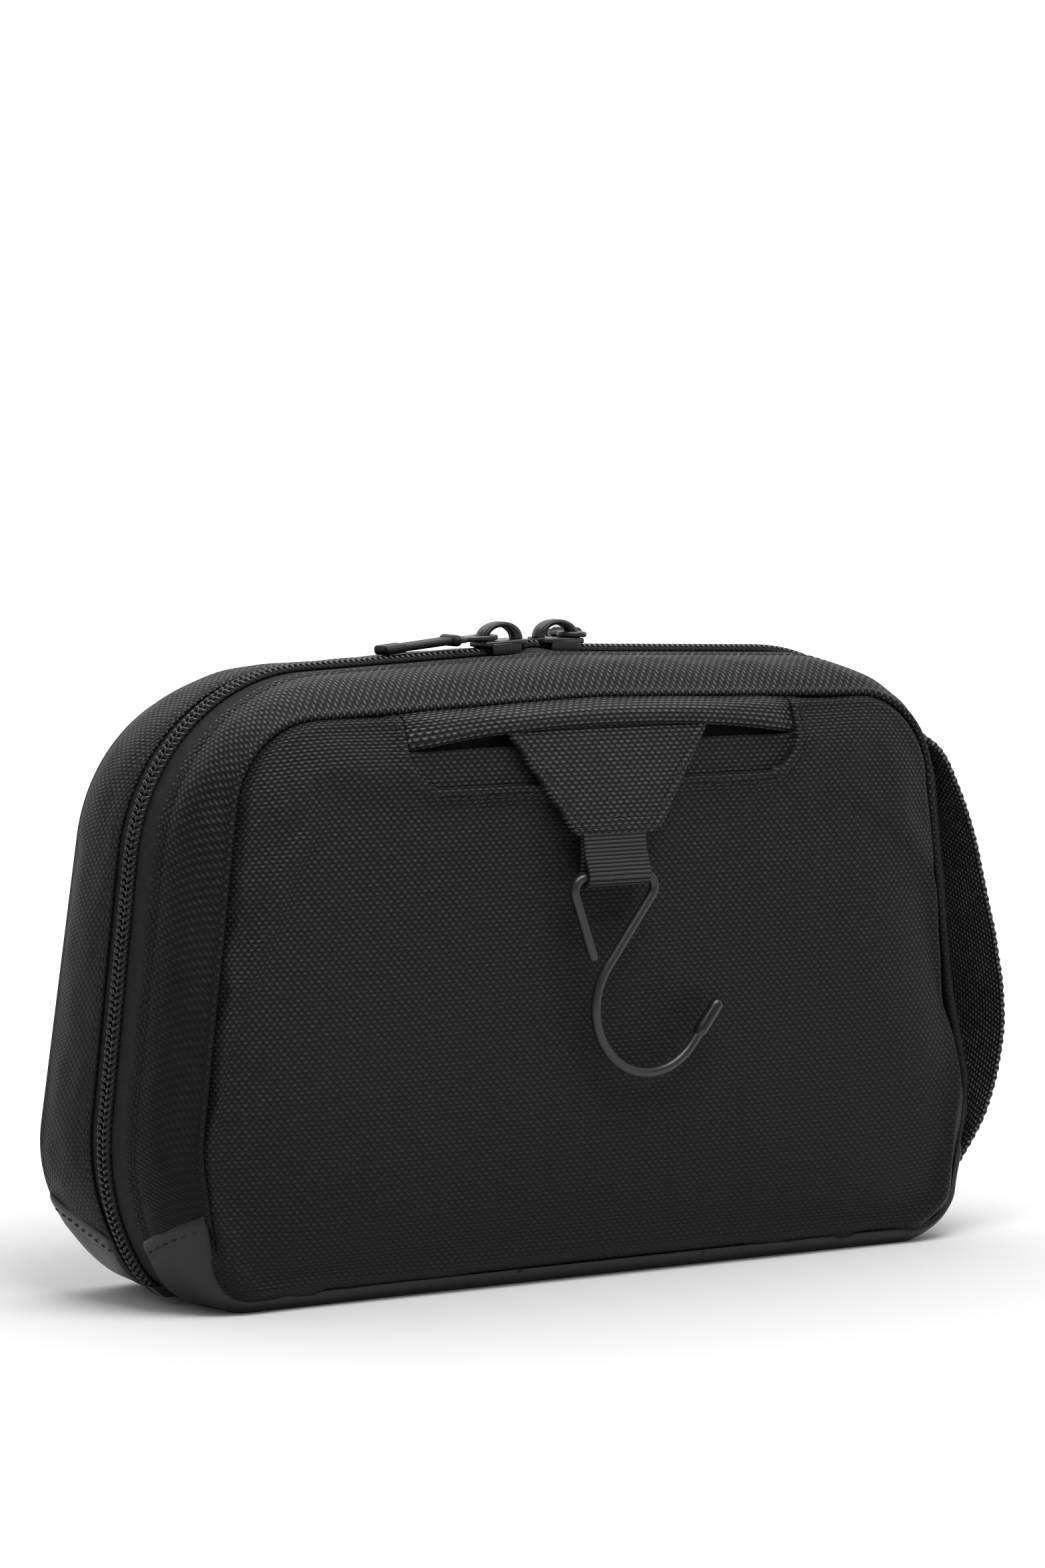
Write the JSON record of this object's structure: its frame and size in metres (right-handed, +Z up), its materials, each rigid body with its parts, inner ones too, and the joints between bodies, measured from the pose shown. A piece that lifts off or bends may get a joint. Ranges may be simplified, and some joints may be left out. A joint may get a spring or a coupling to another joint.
{
  "type": "hanging toiletry bag",
  "caption": "Black soft-sided toiletry bag: half shells on a base hinge, zipper with sliders, side carry handle and a fold-out hanging hook on a tapered tab.",
  "frame": {"origin": "on the resting surface, under the middle of the hinge line between the two halves", "axes": "+Z up with the bag standing on its base; the hook pocket faces -Y; +X runs along the bag's length towards the carry handle"},
  "size_m": [0.2885, 0.082, 0.1781],
  "materials": {
    "black_nylon": "woven",
    "coated_base": "satin",
    "zip_tape": "woven",
    "zip_coil": "satin",
    "metal_black": "satin",
    "webbing": "ribbed",
    "lining_grey": "plain weave",
    "mesh_black": "mesh",
    "foam": "open cell",
    "board": "matte",
    "tip_rubber": "satin",
    "pull_rubber": "matte",
    "binding": "tape"
  },
  "bodies": {
    "rear_half": {"rear_gusset": "black_nylon", "rear_base": "coated_base", "rear_zip_tape": "zip_tape", "rear_zip_coil": "zip_coil", "rear_zip_stops": "metal_black", "rear_gusset_padding": "foam", "rear_lining": "lining_grey", "rear_seam_binding": "binding", "rear_base_board": "board", "rear_panel": "black_nylon", "rear_foam": "foam", "rear_slip_pocket": "mesh_black", "rear_slip_hem": "binding"},
    "front_half": {"front_gusset": "black_nylon", "front_base": "coated_base", "front_zip_tape": "zip_tape", "front_zip_coil": "zip_coil", "front_zip_stops": "metal_black", "front_gusset_padding": "foam", "front_lining": "lining_grey", "front_seam_binding": "binding", "front_base_board": "board", "front_panel": "black_nylon", "front_foam": "foam", "front_mesh_pocket": "mesh_black", "front_mesh_hem": "binding", "pocket_lip": "black_nylon", "pocket_inset": "black_nylon", "pocket_lining": "lining_grey", "hook_tab_anchor": "webbing", "side_handle": "webbing"},
    "hook_tab": {"hook_tab_face": "black_nylon", "hook_tab_back": "black_nylon", "hook_tab_stiffener": "board", "hook_tab_fold": "black_nylon", "hook_webbing": "webbing"},
    "hook": {"hook_wire": "metal_black", "hook_tip_cap": "tip_rubber"},
    "left_slider": {"left_slider_body": "metal_black", "left_slider_bail": "metal_black"},
    "left_pull": {"left_pull_link": "metal_black", "left_pull_tab": "pull_rubber"},
    "right_slider": {"right_slider_body": "metal_black", "right_slider_bail": "metal_black"},
    "right_pull": {"right_pull_link": "metal_black", "right_pull_tab": "pull_rubber"}
  },
  "joints": [
    {"name": "clamshell", "type": "hinge", "parent": "rear_half", "child": "front_half", "pos_m": [0, 0, 0], "axis": [1, 0, 0], "range_deg": [0, 170]},
    {"name": "tab_lift", "type": "hinge", "parent": "front_half", "child": "hook_tab", "pos_m": [0, -0.0357, 0.1496], "axis": [-1, 0, 0], "range_deg": [0, 160]},
    {"name": "hook_swing", "type": "hinge", "parent": "hook_tab", "child": "hook", "pos_m": [0, -0.0411, 0.1108], "axis": [-1, 0, 0], "range_deg": [0, 80]},
    {"name": "left_zip", "type": "slide", "parent": "rear_half", "child": "left_slider", "axis": [-0.9994, 0, -0.0352], "range_m": [0, 0.056]},
    {"name": "right_zip", "type": "slide", "parent": "rear_half", "child": "right_slider", "axis": [0.9994, 0, -0.0352], "range_m": [0, 0.056]},
    {"name": "left_pull_swing", "type": "hinge", "parent": "left_slider", "child": "left_pull", "pos_m": [-0.0161, 0, 0.16993], "axis": [-0.0352, 0, 0.9994], "range_deg": [-85, 85]},
    {"name": "right_pull_swing", "type": "hinge", "parent": "right_slider", "child": "right_pull", "pos_m": [0.0139, 0, 0.17001], "axis": [0.0352, 0, 0.9994], "range_deg": [-140, 30]}
  ]
}
